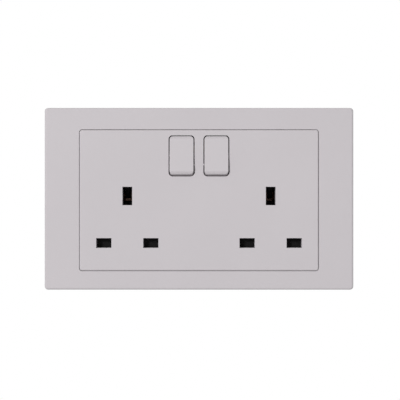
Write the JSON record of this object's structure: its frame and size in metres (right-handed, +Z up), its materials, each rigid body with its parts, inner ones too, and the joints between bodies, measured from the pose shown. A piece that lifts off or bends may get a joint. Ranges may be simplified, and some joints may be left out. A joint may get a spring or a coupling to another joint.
{
  "type": "twin switched socket outlet",
  "caption": "Flush wall socket outlet for plugs with flat pins, with rocker switches, spring-closed shutters and a plain clip-on frame that hides its fixing screws.",
  "frame": {"origin": "on the wall plane, midway between the two slots for the fixing screws", "axes": "+X to the right seen from the front, +Y into the wall, +Z up"},
  "size_m": [0.146, 0.0314, 0.086],
  "materials": {
    "grey_plastic": "matte",
    "dark_plastic": "matte",
    "black_plastic": "matte",
    "pale_nylon": "satin",
    "brass": "satin",
    "silver": "satin",
    "steel": "zinc plated"
  },
  "bodies": {
    "socket_body": {"front_frame": "grey_plastic", "front_plate": "grey_plastic", "rear_housing": "dark_plastic", "housing_screws": "steel", "fixed_contacts": "silver", "live_feed_bar": "brass", "neutral_bar": "brass", "earth_bar": "brass", "terminal_screws": "steel", "live_terminal": "brass", "neutral_terminal": "brass", "earth_terminal_left": "brass", "earth_terminal_right": "brass", "live_outlet_left": "brass", "shutter_spring_left": "steel", "live_outlet_right": "brass", "shutter_spring_right": "steel"},
    "rocker_left": {"rocker_left": "grey_plastic", "plunger_spring_left": "steel"},
    "plunger_left": {"plunger_left": "pale_nylon"},
    "lever_left": {"contact_lever_left": "brass", "lever_contact_left": "silver"},
    "shutter_left": {"shutter_left": "black_plastic"},
    "rocker_right": {"rocker_right": "grey_plastic", "plunger_spring_right": "steel"},
    "plunger_right": {"plunger_right": "pale_nylon"},
    "lever_right": {"contact_lever_right": "brass", "lever_contact_right": "silver"},
    "shutter_right": {"shutter_right": "black_plastic"}
  },
  "joints": [
    {"name": "rocker_left_tip", "type": "hinge", "parent": "socket_body", "child": "rocker_left", "pos_m": [-0.00823, -0.0069, 0.0203], "axis": [1, 0, 0], "range_deg": [0, 12]},
    {"name": "lever_left_tip", "type": "hinge", "parent": "socket_body", "child": "lever_left", "pos_m": [-0.00823, 0.00285, 0.0203], "axis": [1, 0, 0], "range_deg": [-24, 0]},
    {"name": "plunger_left_slide", "type": "slide", "parent": "rocker_left", "child": "plunger_left", "axis": [0, -0.9945, 0.1045], "range_m": [0, 0.0008], "stiffness_N_per_m": 500, "springref_m": -0.003, "deforming": ["plunger_spring_left"]},
    {"name": "shutter_left_slide", "type": "slide", "parent": "socket_body", "child": "shutter_left", "axis": [0, 0, 1], "range_m": [0, 0.0057], "stiffness_N_per_m": 60, "springref_m": -0.004, "deforming": ["shutter_spring_left"]},
    {"name": "rocker_right_tip", "type": "hinge", "parent": "socket_body", "child": "rocker_right", "pos_m": [0.00823, -0.0069, 0.0203], "axis": [1, 0, 0], "range_deg": [0, 12]},
    {"name": "lever_right_tip", "type": "hinge", "parent": "socket_body", "child": "lever_right", "pos_m": [0.00823, 0.00285, 0.0203], "axis": [1, 0, 0], "range_deg": [-24, 0]},
    {"name": "plunger_right_slide", "type": "slide", "parent": "rocker_right", "child": "plunger_right", "axis": [0, -0.9945, 0.1045], "range_m": [0, 0.0008], "stiffness_N_per_m": 500, "springref_m": -0.003, "deforming": ["plunger_spring_right"]},
    {"name": "shutter_right_slide", "type": "slide", "parent": "socket_body", "child": "shutter_right", "axis": [0, 0, 1], "range_m": [0, 0.0057], "stiffness_N_per_m": 60, "springref_m": -0.004, "deforming": ["shutter_spring_right"]}
  ],
  "couplings": [
    {"joint": "lever_left_tip", "follows": "rocker_left_tip", "ratio": -2},
    {"joint": "lever_right_tip", "follows": "rocker_right_tip", "ratio": -2}
  ]
}
